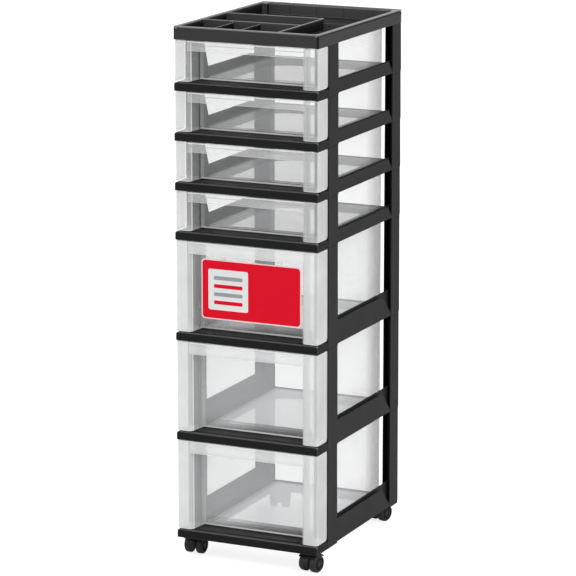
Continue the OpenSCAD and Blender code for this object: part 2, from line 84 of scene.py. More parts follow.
# Sockets of a Mix node in colour mode: the share, the two colours and the result.
MIX_SHARE, MIX_UNDER, MIX_OVER, MIX_RESULT = 0, 6, 7, 2

# Spans in the corners of a rounded outline, at its front and at its rear.
FRONT_SPANS, REAR_SPANS = 4, 8

# Tiers of the tower, each with a drawer.
TIERS = 7

# Degrees from which an edge of a built piece is sharp, and from which one of a carried-over node is rounded.
SHARP_FROM, ROUNDED_FROM = 35, 40

# Section of the clear shell as pairs of height and inset. The foot's heights count from the bottom, the
# rim's from the top, the floor's and its ridge's from the inner floor.
SHELL_FOOT = ((0.0, 0.0030), (0.0004, 0.0014), (0.0014, 0.0004), (0.004, 0.0))
SHELL_RIM = (
    (-0.0012, 0.0), (-0.0004, 0.0003), (0.0, 0.0008), (0.0, 0.0013), (-0.0004, 0.0017), (-0.0012, 0.0020)
)
SHELL_FLOOR = ((0.005, 0.0021), (0.0022, 0.0026), (0.0008, 0.0040), (0.0, 0.0062))
SHELL_RIDGE = ((0.0, 0.0140), (0.0010, 0.0145), (0.0010, 0.0164), (0.0, 0.0170))


class ShellSlot(IntEnum):
    """Material slots of a drawer's clear shell."""

    CLEAR = 0
    RIM = 1
    PAN = 2
    TOE_TOP = 3
    TOE_MID = 4
    TOE_LOW = 5
    WALL = 6


class FrontSlot(IntEnum):
    """Material slots of a drawer's pillars and handle."""

    FROSTED = 0
    CHEEK = 1
    RIM = 2
    GROOVE = 3
    SEAM = 4
    FLANK = 5


class CardSlot(IntEnum):
    """Material slots of the display card."""

    RED = 0
    WHITE = 1
    GREY = 2
    KEYLINE = 3
    TAB = 4


class Side(Enum):
    """Which side of the tower a piece is on, as the sign of its X."""

    LEFT = -1
    RIGHT = 1


class Tier(Enum):
    """The two kinds of drawer, with the height of the handle's skirt."""

    SHALLOW = 0.019
    DEEP = 0.024

    @property
    def toe(self) -> tuple[tuple[float, ShellSlot], ...]:
        """Tops of the shaded bands low on the front panel, each with its material slot."""
        if self is Tier.DEEP:
            return (0.0095, ShellSlot.TOE_LOW), (0.0145, ShellSlot.TOE_MID), (0.0200, ShellSlot.TOE_TOP)
        return (0.0052, ShellSlot.TOE_LOW), (0.0085, ShellSlot.CLEAR), (0.0096, ShellSlot.TOE_TOP)

    @classmethod
    def of(cls, number: int) -> "Tier":
        """The kind of drawer in a tier, counted from the top."""
        last_shallow = 4
        return cls.DEEP if number > last_shallow else cls.SHALLOW


class Corner(Enum):
    """The casters by corner, with their swivel angle at rest in degrees."""

    FL = 0.0
    FR = 168.0
    RL = 12.0
    RR = -19.0


# ---------------------------------------------------------------- shader parts


def grey(value: float) -> Triple:
    """A neutral colour."""
    return value, value, value


def tinted(colour: Triple, factor: float) -> Triple:
    """A colour made darker or lighter by a factor, at most white."""
    return tuple(min(c * factor, 1.0) for c in colour)


class NodeSheet:
    """Short way to lay out nodes in one tree."""

    def __init__(self, tree: bpy.types.NodeTree) -> None:
        """Keeps the tree that the nodes go into."""
        self.tree = tree

    def add(self, kind: str, **values: object) -> Node:
        """Adds a node.

        Args:
            kind: the node's class name.
            values: attributes of the node, or socket names with spaces as underscores.

        Returns:
            The new node, in the next free place of the sheet.
        """
        node = self.tree.nodes.new(kind)
        column = len(self.tree.nodes)
        node.location = (column * 180, -(column % 4) * 160)
        for name, value in values.items():
            if hasattr(node, name):
                setattr(node, name, value)
            else:
                node.inputs[name.replace("_", " ")].default_value = value
        return node

    def link(self, source: Socket, target: Socket) -> None:
        """Joins two sockets."""
        self.tree.links.new(source, target)

    def feed(self, value: object, target: Socket) -> None:
        """Gives a socket another socket's value, a number or a colour."""
        if isinstance(value, bpy.types.NodeSocket):
            self.link(value, target)
        else:
            target.default_value = (*value, 1.0) if isinstance(value, tuple) else value

    def math(self, operation: str, a: object, b: object = 0.0, clamp: bool = False) -> Socket:
        """Adds a Math node.

        Args:
            operation: the node's operation.
            a: first value or socket.
            b: second value or socket.
            clamp: keeps the result from 0 to 1.

        Returns:
            The result's socket.
        """
        node = self.add("ShaderNodeMath", operation=operation, use_clamp=clamp)
        for value, target in zip((a, b), node.inputs):
            self.feed(value, target)
        return node.outputs[0]

    def blend(self, share: Socket, under: object, over: object) -> Socket:
        """Adds a Mix node.

        Args:
            share: how much of the second colour shows.
            under: first colour or socket.
            over: second colour or socket.

        Returns:
            The mixed colour's socket.
        """
        node = self.add("ShaderNodeMix", data_type="RGBA")
        for value, slot in ((share, MIX_SHARE), (under, MIX_UNDER), (over, MIX_OVER)):
            self.feed(value, node.inputs[slot])
        return node.outputs[MIX_RESULT]

    def split(self, vector: Socket) -> list[Socket]:
        """X, Y and Z of a vector."""
        node = self.add("ShaderNodeSeparateXYZ")
        self.link(vector, node.inputs[0])
        return list(node.outputs)

    def place(self) -> Socket:
        """The shaded point in Object coordinates."""
        return self.add("ShaderNodeTexCoord").outputs["Object"]

    def normal(self) -> Socket:
        """The direction that the surface faces."""
        return self.add("ShaderNodeNewGeometry").outputs["Normal"]


def new_group(name: str, inputs: dict[str, float], outputs: list[str]) -> tuple[
    NodeSheet, bpy.types.NodeOutputs, bpy.types.NodeInputs
]:
    """Starts a shader node group.

    Args:
        name: the group's name.
        inputs: name and default of each number that goes in.
        outputs: names of the numbers that come out.

    Returns:
        The group's sheet, the sockets of its inputs and those of its outputs.
    """
    group = bpy.data.node_groups.new(name, "ShaderNodeTree")
    for label, default in inputs.items():
        socket = group.interface.new_socket(name=label, in_out="INPUT", socket_type="NodeSocketFloat")
        socket.default_value = default
    for label in outputs:
        group.interface.new_socket(name=label, in_out="OUTPUT", socket_type="NodeSocketFloat")
    sheet = NodeSheet(group)
    return sheet, sheet.add("NodeGroupInput").outputs, sheet.add("NodeGroupOutput").inputs


def moulded_grain_group() -> bpy.types.NodeTree:
    """Fine spark-eroded grain with slow waves of gloss, as on moulded plastic."""
    sizes = {"Grain Scale": 900.0, "Wave Scale": 14.0}
    sheet, given, out = new_group("moulded_grain", sizes, ["Height", "Gloss", "Tone"])
    place = sheet.place()
    grain = sheet.add("ShaderNodeTexNoise", Detail=3.0, Roughness=0.6)
    wave = sheet.add("ShaderNodeTexNoise", Detail=2.0, Roughness=0.5)
    pores = sheet.add("ShaderNodeTexVoronoi")
    for node, scale in ((grain, "Grain Scale"), (wave, "Wave Scale"), (pores, "Grain Scale")):
        sheet.link(place, node.inputs["Vector"])
        sheet.link(given[scale], node.inputs["Scale"])
    height = sheet.math("ADD", grain.outputs[0], sheet.math("MULTIPLY", pores.outputs["Distance"], 0.4))
    sheet.link(height, out["Height"])
    sheet.link(sheet.math("SUBTRACT", wave.outputs[0], 0.5), out["Gloss"])
    sheet.link(wave.outputs[0], out["Tone"])
    return sheet.tree


def dust_and_top_light_group() -> bpy.types.NodeTree:
    """Thin dusting and painted light on faces that look up, broken into soft patches."""
    sizes = {"Patch Scale": 30.0, "Amount": 0.5, "Lean": 0.6}
    sheet, given, out = new_group("settled_dust", sizes, ["Mask"])
    noise = sheet.add("ShaderNodeTexNoise", Detail=4.0)
    sheet.link(sheet.place(), noise.inputs["Vector"])
    sheet.link(given["Patch Scale"], noise.inputs["Scale"])
    up = sheet.math("SUBTRACT", sheet.split(sheet.normal())[2], given["Lean"])
    patch = sheet.math("MULTIPLY", sheet.math("MULTIPLY", up, 2.5, clamp=True), noise.outputs[0])
    sheet.link(sheet.math("MULTIPLY", patch, given["Amount"], clamp=True), out["Mask"])
    return sheet.tree


def handling_scuffs_group() -> bpy.types.NodeTree:
    """Thin rubbed lines, long along X, as sliding and dusting leave them."""
    sheet, given, out = new_group("handling_scuffs", {"Line Scale": 60.0, "Cover": 0.5}, ["Mask"])
    stretch = sheet.add("ShaderNodeMapping", Scale=(0.08, 0.3, 1.6), Rotation=(0.0, 0.12, 0.0))
    sheet.link(sheet.place(), stretch.inputs["Vector"])
    lines = sheet.add("ShaderNodeTexNoise", Detail=5.0, Roughness=0.7)
    sheet.link(stretch.outputs[0], lines.inputs["Vector"])
    sheet.link(given["Line Scale"], lines.inputs["Scale"])
    sharp = sheet.math("MULTIPLY", sheet.math("SUBTRACT", lines.outputs[0], 0.6), 8.0, clamp=True)
    sheet.link(sheet.math("MULTIPLY", sharp, given["Cover"], clamp=True), out["Mask"])
    return sheet.tree


def basin_shade_group() -> bpy.types.NodeTree:
    """Deep shade inside an open basin by height under its rim, less on walls that face the front."""
    sizes = {"Half Width": 0.15, "Front": -0.2, "Rear": 0.19, "Rim": 1.0, "Depth": 0.008}
    sheet, given, out = new_group("basin_shade", sizes, ["Mask"])
    x, y, z = sheet.split(sheet.place())
    inside = sheet.math("GREATER_THAN", given["Half Width"], sheet.math("ABSOLUTE", x))
    inside = sheet.math("MULTIPLY", inside, sheet.math("GREATER_THAN", y, given["Front"]))
    inside = sheet.math("MULTIPLY", inside, sheet.math("GREATER_THAN", given["Rear"], y))
    below = sheet.math("SUBTRACT", given["Rim"], z)
    below = sheet.math("DIVIDE", below, given["Depth"], clamp=True)
    lit = sheet.math("MULTIPLY", sheet.split(sheet.normal())[1], 0.9)
    lit = sheet.math("ADD", lit, 1.0, clamp=True)
    sheet.link(sheet.math("MULTIPLY", sheet.math("MULTIPLY", inside, below), lit), out["Mask"])
    return sheet.tree


def rim_band_group() -> bpy.types.NodeTree:
    """Painted light on an open tray's rolled rim: a highlight band, broader inside, shade lines under it and
    at the corners, and light on walls that face the front.
    """
    sizes = {"Rim": 1.0, "Band": 0.0022, "Broad Band": 0.0045, "Side": 0.15}
    sizes |= {"Front": -0.2, "Rear": 0.185, "Corner": 0.36}
    masks = ["Band Mask", "Line Mask", "Wall Mask", "Corner Mask"]
    sheet, given, out = new_group("rim_band", sizes, masks)
    x, y, z = sheet.split(sheet.place())
    below = sheet.math("SUBTRACT", given["Rim"], z)
    across = sheet.math("ABSOLUTE", x)
    side = sheet.math("GREATER_THAN", across, given["Side"])
    inner = sheet.math("GREATER_THAN", across, sheet.math("SUBTRACT", given["Side"], 0.004))
    inner = sheet.math("SUBTRACT", inner, side)
    rear = sheet.math("GREATER_THAN", y, given["Rear"])
    extra = sheet.math("SUBTRACT", given["Broad Band"], given["Band"])
    band = sheet.math("ADD", given["Band"], sheet.math("MULTIPLY", sheet.math("MAXIMUM", rear, inner), extra))
    sheet.link(sheet.math("GREATER_THAN", band, below), out["Band Mask"])
    under = sheet.math("GREATER_THAN", sheet.math("MULTIPLY", band, 2.3), below)
    sheet.link(sheet.math("MULTIPLY", under, side), out["Line Mask"])
    forward = sheet.math("GREATER_THAN", -0.5, sheet.split(sheet.normal())[1])
    forward = sheet.math("MULTIPLY", forward, sheet.math("GREATER_THAN", y, given["Front"]))
    sheet.link(sheet.math("MAXIMUM", rear, forward), out["Wall Mask"])
    corner = sheet.math("GREATER_THAN", sheet.math("SUBTRACT", across, y), given["Corner"])
    sheet.link(corner, out["Corner Mask"])
    return sheet.tree


def lip_lines_group() -> bpy.types.NodeTree:
    """Painted light along a shelf's lip: a highlight on the bead at its edge, shade in the groove behind it
    and the drawer's shadow.
    """
    sizes = {"Front": -0.21, "Bead": 0.007, "Groove": 0.016, "Foot": 0.030}
    sheet, given, out = new_group("lip_lines", sizes, ["Bead Mask", "Groove Mask", "Foot Mask"])
    level = sheet.math("GREATER_THAN", sheet.split(sheet.normal())[2], 0.5)
    back = sheet.math("SUBTRACT", sheet.split(sheet.place())[1], given["Front"])
    for label in ("Bead", "Groove"):
        near = sheet.math("GREATER_THAN", given[label], back)
        sheet.link(sheet.math("MULTIPLY", level, near), out[f"{label} Mask"])
    shade = sheet.math("MULTIPLY", sheet.math("SUBTRACT", back, given["Foot"]), 60.0, clamp=True)
    sheet.link(sheet.math("MULTIPLY", level, shade), out["Foot Mask"])
    return sheet.tree


def shared_group(name: str) -> bpy.types.NodeTree:
    """One of the shader groups by name, made when it is first asked for."""
    makers = {
        "moulded_grain": moulded_grain_group,
        "settled_dust": dust_and_top_light_group,
        "handling_scuffs": handling_scuffs_group,
        "basin_shade": basin_shade_group,
        "rim_band": rim_band_group,
        "lip_lines": lip_lines_group,
    }
    return bpy.data.node_groups.get(name) or makers[name]()


def use_group(sheet: NodeSheet, name: str, **values: float) -> bpy.types.NodeOutputs:
    """Adds a group node with some of its inputs set.

    Args:
        sheet: where the node goes.
        name: the group's name.
        values: input names with spaces as underscores.

    Returns:
        The sockets that come out of it.
    """
    node = sheet.add("ShaderNodeGroup", node_tree=shared_group(name))
    for label, value in values.items():
        node.inputs[label.replace("_", " ")].default_value = value
    return node.outputs


def start_material(name: str, colour: Triple, roughness: float) -> tuple[Material, NodeSheet, Node]:
    """Starts a material.

    Args:
        name: the material's name.
        colour: base colour, linear.
        roughness: the shader's roughness.

    Returns:
        The material, its sheet of nodes and its shader.
    """
    material = bpy.data.materials.new(name)
    material.use_nodes = True
    sheet = NodeSheet(material.node_tree)
    shader = material.node_tree.nodes["Principled BSDF"]
    shader.inputs["Base Color"].default_value = (*colour, 1.0)
    shader.inputs["Roughness"].default_value = roughness
    material.diffuse_color = (*colour, 1.0)
    return material, sheet, shader


def set_glow(shader: Node, colour: Triple, strength: float) -> None:
    """Gives the shader a painted glow: faint emission that stands in for the light clear plastic scatters
    from inside.
    """
    shader.inputs["Emission Color"].default_value = (*colour, 1.0)
    shader.inputs["Emission Strength"].default_value = strength


def waved(sheet: NodeSheet, grain: bpy.types.NodeOutputs, spread: float, middle: float) -> Socket:
    """Adds a value that follows the grain's slow waves, by a spread round a middle."""
    return sheet.math("ADD", sheet.math("MULTIPLY", grain["Gloss"], spread), middle)


def add_bump(sheet: NodeSheet, shader: Node, grain: bpy.types.NodeOutputs, depth: float) -> None:
    """Drives the shader's normal by the grain's height, in metres of depth."""
    bump = sheet.add("ShaderNodeBump", Strength=0.5, Distance=depth)
    sheet.link(grain["Height"], bump.inputs["Height"])
    sheet.link(bump.outputs[0], shader.inputs["Normal"])


# ------------------------------------------------------------------- finishes


@dataclass(frozen=True)
class MouldedPlastic:
    """Opaque plastic with a fine grain, waves of gloss and a little dusting with painted light on top.

    A basin (half width, front, rear, rim) gets painted shade inside and painted light on its rim and walls. A
    lip (its front) gets a painted highlight and painted shade lines along it.
    """

    name: str
    colour: Triple
    roughness: float
    specular: float
    grain: float
    dust: float
    dust_and_light_colour: Triple = (0.32, 0.32, 0.32)
    dust_and_light_from: float = 0.6
    basin: tuple[float, float, float, float] | None = None
    lip: float | None = None

    def build(self) -> Material:
        """Makes the material."""
        material, sheet, shader = start_material(self.name, self.colour, self.roughness)
        shader.inputs["Specular IOR Level"].default_value = self.specular
        grain = use_group(sheet, "moulded_grain", Grain_Scale=self.grain)
        # Dusting with painted top light: upward faces are lighter, and on the tray this is the highlight
        # along its rim.
        dust = use_group(sheet, "settled_dust", Amount=self.dust, Lean=self.dust_and_light_from)["Mask"]
        top = sheet.blend(grain["Tone"], tinted(self.colour, 0.88), tinted(self.colour, 1.14))
        top = sheet.blend(dust, top, self.dust_and_light_colour)
        if self.basin:
            top = self.shade_basin(sheet, top)
        if self.lip is not None:
            top = self.line_lip(sheet, top)
        sheet.link(top, shader.inputs["Base Color"])
        rough = waved(sheet, grain, 0.16, self.roughness)
        rough = sheet.math("ADD", rough, sheet.math("MULTIPLY", dust, 0.3))
        sheet.link(rough, shader.inputs["Roughness"])
        add_bump(sheet, shader, grain, 0.00006)
        return material

    def shade_basin(self, sheet: NodeSheet, top: Socket) -> Socket:
        """Paints shade in the basin and light and shade on its rim; takes and returns the colour's socket."""
        half, front, rear, rim = self.basin
        deep = use_group(sheet, "basin_shade", Half_Width=half, Front=front, Rear=rear, Rim=rim)
        top = sheet.blend(deep["Mask"], top, tinted(self.colour, 0.16))
        side, corner = half + 0.0035, half - front + 0.009
        edge = use_group(sheet, "rim_band", Rim=rim, Rear=rear, Side=side, Front=front, Corner=corner)
        # Painted light: Wall lightens the rear wall and the walls that face the front, Band is a highlight
        # along the rim, Line and Corner are shade lines under the rim and at its corners.
        paints = (("Wall", 0.0, 0.33), ("Line", 0.05, 0.0), ("Corner", 0.1, 0.0), ("Band", 0.0, 0.95))
        for label, share, light_share in paints:
            paint = tuple(c * share + d * light_share for c, d in zip(self.colour, self.dust_and_light_colour))
            top = sheet.blend(edge[f"{label} Mask"], top, paint)
        return top

    def line_lip(self, sheet: NodeSheet, top: Socket) -> Socket:
        """Paints the bead's highlight, the groove's shade and the drawer's shadow along the lip; takes and
        returns the colour's socket.
        """
        lines = use_group(sheet, "lip_lines", Front=self.lip)
        for label, share in (("Groove", 0.3), ("Bead", 7.0), ("Foot", 0.2)):
            top = sheet.blend(lines[f"{label} Mask"], top, tinted(self.colour, share))
        return top


@dataclass(frozen=True)
class ClearPlastic:
    """Clear plastic seen as a thin film: milky haze, brighter at grazing angles, with a painted glow.

    Between the two Y values of its rear it takes up a painted reflection, the dark mirror image of the rear
    post.
    """

    name: str
    haze: float
    glow: float = 0.18
    rear: tuple[float, float] | None = None
    colour: Triple = (0.56, 0.565, 0.57)
    edge: float = 0.4
    roughness: float = 0.12
    refraction: float = 1.49

    def build(self) -> Material:
        """Makes the material."""
        material, sheet, shader = start_material(self.name, self.colour, self.roughness)
        shader.inputs["IOR"].default_value = self.refraction
        set_glow(shader, self.colour, self.glow)
        grain = use_group(sheet, "moulded_grain", Grain_Scale=260.0, Wave_Scale=9.0)
        scuffs = use_group(sheet, "handling_scuffs", Line_Scale=55.0, Cover=0.05)["Mask"]
        haze = sheet.math("ADD", waved(sheet, grain, 0.05, self.haze), scuffs)
        if self.rear:
            haze = self.mirror_post(sheet, shader, haze)
        facing = sheet.add("ShaderNodeLayerWeight", Blend=0.35).outputs["Facing"]
        rim = sheet.math("MULTIPLY", sheet.math("POWER", facing, 2.2), self.edge)
        sheet.link(sheet.math("ADD", haze, rim, clamp=True), shader.inputs["Alpha"])
        sheet.link(waved(sheet, grain, 0.1, self.roughness), shader.inputs["Roughness"])
        add_bump(sheet, shader, grain, 0.00001)
        return material

    def mirror_post(self, sheet: NodeSheet, shader: Node, haze: Socket) -> Socket:
        """Paints a reflection: darkens the rear end of the outer faces with the dark mirror image of the rear
        post.

        Args:
            sheet: where the nodes go.
            shader: what takes the darkened colour.
            haze: how much the plastic covers.

        Returns:
            How much it covers with the mirror image.
        """
        start, end = self.rear
        far = sheet.math("SUBTRACT", sheet.split(sheet.place())[1], start)
        far = sheet.math("DIVIDE", far, end - start, clamp=True)
        outer = sheet.math("SUBTRACT", 1.0, sheet.add("ShaderNodeNewGeometry").outputs["Backfacing"])
        far = sheet.math("MULTIPLY", sheet.math("POWER", far, 0.7), outer)
        mirror = sheet.blend(sheet.math("MULTIPLY", far, 1.6, clamp=True), self.colour, grey(0.03))
        for label in ("Base Color", "Emission Color"):
            sheet.link(mirror, shader.inputs[label])
        return sheet.math("ADD", haze, sheet.math("MULTIPLY", far, 0.3))


@dataclass(frozen=True)
class FrostedPlastic:
    """Milky plastic that lets a soft image through, with painted shade where it curves away.

    A lean paints light from the left: it makes the plastic lighter and thinner towards the left.
    """

    name: str
    cover: float
    colour: Triple = (0.80, 0.805, 0.81)
    roughness: float = 0.34
    curve_shade: float = 0.55
    glow: float = 0.12
    lean: float = 0.0
    specular: float = 0.12

    def build(self) -> Material:
        """Makes the material."""
        material, sheet, shader = start_material(self.name, self.colour, self.roughness)
        shader.inputs["Specular IOR Level"].default_value = self.specular
        set_glow(shader, self.colour, self.glow)
        grain = use_group(sheet, "moulded_grain", Grain_Scale=420.0, Wave_Scale=16.0)
        top = sheet.blend(grain["Tone"], tinted(self.colour, 0.93), tinted(self.colour, 1.07))
        facing = sheet.add("ShaderNodeLayerWeight", Blend=0.5).outputs["Facing"]
        bend = sheet.math("MULTIPLY", sheet.math("POWER", facing, 3.0), self.curve_shade, clamp=True)
        top = sheet.blend(bend, top, tinted(self.colour, 0.45))
        scuffs = use_group(sheet, "handling_scuffs", Line_Scale=70.0, Cover=0.25)["Mask"]
        scuffs = sheet.math("MULTIPLY", scuffs, 0.15)
        cover = sheet.math("ADD", waved(sheet, grain, 0.12, self.cover), scuffs, clamp=True)
        # Painted light from the left: lighter colour and less cover towards -X.
        if self.lean:
            left = sheet.math("MULTIPLY", sheet.split(sheet.place())[0], 4.5)
            left = sheet.math("POWER", sheet.math("SUBTRACT", 0.5, left, clamp=True), 2.0)
            top = sheet.blend(left, top, tinted(self.colour, 1.0 + self.lean))
            kept = sheet.math("SUBTRACT", 1.0, sheet.math("MULTIPLY", left, 0.8))
            cover = sheet.math("MULTIPLY", cover, kept)
        sheet.link(top, shader.inputs["Base Color"])
        sheet.link(cover, shader.inputs["Alpha"])
        add_bump(sheet, shader, grain, 0.00005)
        return material


@dataclass(frozen=True)
class CoatedCard:
    """Printed card under a clear coat, with a faint paper tooth."""

    name: str
    colour: Triple
    roughness: float = 0.35
    specular: float = 0.12

    def build(self) -> Material:
        """Makes the material."""
        material, sheet, shader = start_material(self.name, self.colour, self.roughness)
        shader.inputs["Specular IOR Level"].default_value = self.specular
        fibre = use_group(sheet, "moulded_grain", Grain_Scale=1400.0, Wave_Scale=22.0)
        tint = sheet.blend(fibre["Tone"], tinted(self.colour, 0.95), tinted(self.colour, 1.05))
        sheet.link(tint, shader.inputs["Base Color"])
        add_bump(sheet, shader, fibre, 0.00002)
        return material


@dataclass(frozen=True)
class BlackenedSteel:
    """Blackened steel with turning marks along the pin."""

    name: str
    colour: Triple = (0.07, 0.07, 0.075)
    roughness: float = 0.45

    def build(self) -> Material:
        """Makes the material."""
        material, sheet, shader = start_material(self.name, self.colour, self.roughness)
        shader.inputs["Metallic"].default_value = 1.0
        grain = use_group(sheet, "moulded_grain", Grain_Scale=1800.0, Wave_Scale=60.0)
        sheet.link(waved(sheet, grain, 0.25, self.roughness), shader.inputs["Roughness"])
        add_bump(sheet, shader, grain, 0.00002)
        return material


def per_tier(name: str, finish: type, **values: tuple) -> dict[Tier, Material]:
    """Builds a finish once for each kind of drawer.

    Args:
        name: the start of its names.
        finish: its class.
        values: for each of its fields, the shallow drawers' value and the deep ones'.

    Returns:
        The material of each kind.
    """
    built = {}
    for index, tier in enumerate(Tier):
        chosen = {label: pair[index] for label, pair in values.items()}
        built[tier] = finish(f"{name}_{tier.name.lower()}", **chosen).build()
    return built


class Palette:
    """All finishes of the tower, built once."""

    def __init__(self) -> None:
        """Builds each finish."""
        self.add_blacks()
        self.add_clears()
        # The bright rim is a painted highlight on the drawers' thin edges.
        self.rim = FrostedPlastic("bright_rim", 0.85, grey(0.84), 0.2, 0.1).build()
        self.groove = FrostedPlastic("shaded_groove", 0.7, grey(0.42), 0.4, 0.2).build()
        self.seam = FrostedPlastic("dark_seam", 0.6, grey(0.05), 0.4, 0.2, 0.0).build()
        self.red = CoatedCard("card_red", (0.74, 0.002, 0.018)).build()
        self.white = CoatedCard("card_white", grey(0.80)).build()
        self.keyline = CoatedCard("card_keyline", (0.86, 0.70, 0.72)).build()
        self.grey = CoatedCard("card_grey", (0.33, 0.34, 0.37)).build()

    def add_blacks(self) -> None:
        """Builds the finishes of the tray, the shelves, the side frames and the casters."""
        low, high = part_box("top_tray")
        wall, back = 0.0060, 0.0086
        basin = (high[0] - wall, low[1] + wall, high[1] - back, high[2] - 0.0002)
        tray = {"dust_and_light_colour": (0.21, 0.21, 0.215), "basin": basin}
        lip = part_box("base_shelf")[0][1]
        edge_highlight = {"dust_and_light_colour": grey(0.30), "dust_and_light_from": 0.1}
        # The tray's heavy dusting paints light on its upward faces, the highlight along its rim; its lighter
        # rounded edges are a painted highlight.
        self.tray = MouldedPlastic(
            "tray_black", (0.039, 0.039, 0.040), 0.45, 0.1, 1000.0, 2.2, **tray
        ).build()
        self.tray_edge = MouldedPlastic("tray_edge", grey(0.10), 0.35, 0.4, 1000.0, 2.2, **tray).build()
        self.shelf = MouldedPlastic(
            "shelf_black", (0.013, 0.013, 0.0135), 0.5, 0.08, 1000.0, 0.24, lip=lip
        ).build()
        # The shelves' lighter rounded edges paint a highlight along the lips.
        self.shelf_edge = MouldedPlastic("shelf_edge", grey(0.05), 0.4, 0.25, 1000.0, 1.4, **edge_highlight).build()
        self.side = MouldedPlastic("frame_black", (0.016, 0.016, 0.017), 0.5, 0.12, 1000.0, 0.15).build()
        # The side frames' darker rounded edges paint shade lines along the rails.
        self.side_edge = MouldedPlastic("frame_edge", grey(0.004), 0.5, 0.1, 1000.0, 0.1).build()
        self.caster = MouldedPlastic("caster_black", grey(0.012), 0.4, 0.25, 700.0, 0.1).build()
        # The hoods' lighter rounded edges paint a highlight.
        self.caster_edge = MouldedPlastic("caster_edge", grey(0.05), 0.4, 0.3, 700.0, 0.1).build()
        self.tread = MouldedPlastic("wheel_black", grey(0.02), 0.45, 0.3, 500.0, 0.1).build()
        self.steel = BlackenedSteel("blackened_steel").build()

    def add_clears(self) -> None:
        """Builds the clear and frosted finishes of the drawers."""
        haze = (0.09, 0.19)
        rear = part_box("drawer_1")[1][1]
        # Span at the side walls' rear that takes the painted reflection of the rear post.
        image = (rear - 0.085, rear)
        self.clear = per_tier("clear", ClearPlastic, haze=haze, glow=(0.18, 0.32))
        self.wall = per_tier("wall", ClearPlastic, haze=haze, rear=(image, image))
        self.pan = per_tier("pan", ClearPlastic, haze=(0.24, 0.40), glow=(0.28, 0.56))
        self.cheek = per_tier("cheek", ClearPlastic, haze=tuple(0.03 + 1.8 * h for h in haze))
        self.flank = per_tier("flank", FrostedPlastic, cover=(0.47, 0.50), glow=(0.13, 0.14))
        self.frosted = per_tier("frosted", FrostedPlastic, cover=(0.22, 0.44), glow=(0.14, 0.12))
        # The toe's bands, painted shade low on the front panel, take painted light from the left through
        # their lean.
        toes = (("toe_top", 0.23), ("toe_mid", 0.13), ("toe_low", 0.065))
        self.toe = [FrostedPlastic(n, 0.78, grey(c), 0.3, 0.2, 0.0, 2.0).build() for n, c in toes]


# --------------------------------------------------------------- mesh building


def arc(centre: Point, radius: float, start: float, end: float, steps: int) -> list[Point]:
    """Points along an arc.

    Args:
        centre: middle of the arc.
        radius: its radius.
        start: first angle in degrees.
        end: last angle in degrees.
        steps: number of spans.

    Returns:
        steps + 1 points.
    """
    turns = (math.radians(start + (end - start) * i / steps) for i in range(steps + 1))
    return [(centre[0] + radius * math.cos(a), centre[1] + radius * math.sin(a)) for a in turns]


def rounded_outline(x0: float, x1: float, y0: float, y1: float, front: float, rear: float) -> list[Point]:
    """Outline of a rounded rectangle, anticlockwise from the front right corner.

    Args:
        x0: left side.
        x1: right side.
        y0: front.
        y1: rear.
        front: corner radius at the front.
        rear: corner radius at the rear.

    Returns:
        Always the same number of points.
    """
    least = 0.0002
    front, rear = max(front, least), max(rear, least)
    return (
        arc((x1 - front, y0 + front), front, -90, 0, FRONT_SPANS)
        + arc((x1 - rear, y1 - rear), rear, 0, 90, REAR_SPANS)
        + arc((x0 + rear, y1 - rear), rear, 90, 180, REAR_SPANS)
        + arc((x0 + front, y0 + front), front, 180, 270, FRONT_SPANS)
    )


class Shell:
    """Gathers loops and strips of faces into one mesh."""

    def __init__(self) -> None:
        """Starts an empty mesh."""
        self.mesh = bmesh.new()

    def loop(self, points: list[Point], z: float) -> Verts:
        """Adds a level loop of points at a height."""
        return [self.mesh.verts.new((x, y, z)) for x, y in points]

    def ring(self, points: list[Triple]) -> Verts:
        """Adds a loop of points in space."""
        return [self.mesh.verts.new(p) for p in points]

    def bridge(self, low: Verts, high: Verts, slots: list[int] | int = 0) -> None:
        """Joins two loops by a strip of faces.

        Args:
            low: first loop.
            high: second loop, of the same length.
            slots: material slot, or one for each span.
        """
        count = len(low)
        for i in range(count):
            j = (i + 1) % count
            face = self.mesh.faces.new((low[i], low[j], high[j], high[i]))
            face.material_index = slots if isinstance(slots, int) else slots[i]

    def cap(self, loop: Verts, slot: int = 0) -> None:
        """Closes a loop by one face."""
        face = self.mesh.faces.new(loop)
        face.material_index = slot

    def loft(self, loops: list[Verts], slots: list[int] | int = 0, ends: int = 0) -> None:
        """Joins loops one after another, each strip in the given slots, and closes both ends."""
        for low, high in zip(loops, loops[1:]):
            self.bridge(low, high, slots)
        self.cap(list(reversed(loops[0])), ends)
        self.cap(loops[-1], ends)

    def finish(self, name: str, materials: list[Material]) -> Piece:
        """Turns what was gathered into an object at the origin, with its material slots."""
        bmesh.ops.recalc_face_normals(self.mesh, faces=self.mesh.faces)
        data = bpy.data.meshes.new(name)
        self.mesh.to_mesh(data)
        self.mesh.free()
        for material in materials:
            data.materials.append(material)
        data.shade_smooth()
        data.set_sharp_from_angle(angle=math.radians(SHARP_FROM))
        return placed(name, data)


def placed(name: str, data: bpy.types.ID) -> bpy.types.Object:
    """Puts a mesh, light or camera into the scene as an object at the origin."""
    thing = bpy.data.objects.new(name, data)
    bpy.context.scene.collection.objects.link(thing)
    return thing


def soften_edges(piece: Piece, width: float, slot: int, clamp: bool) -> None:
    """Joins a carried-over node's loose triangles and rounds its sharp edges with live modifiers.

    Args:
        piece: the object.
        width: width of the rounding.
        slot: material slot of the rounding, or -1 to keep that of its neighbours.
        clamp: narrows the rounding wherever edges come close together.
    """
    join = piece.modifiers.new("join", "WELD")
    join.merge_threshold = 0.00002
    edge = piece.modifiers.new("edge", "BEVEL")
    edge.width = width
    edge.segments = 2
    edge.limit_method = "ANGLE"
    edge.angle_limit = math.radians(ROUNDED_FROM)
    edge.loop_slide = clamp
    edge.use_clamp_overlap = clamp
    edge.material = slot


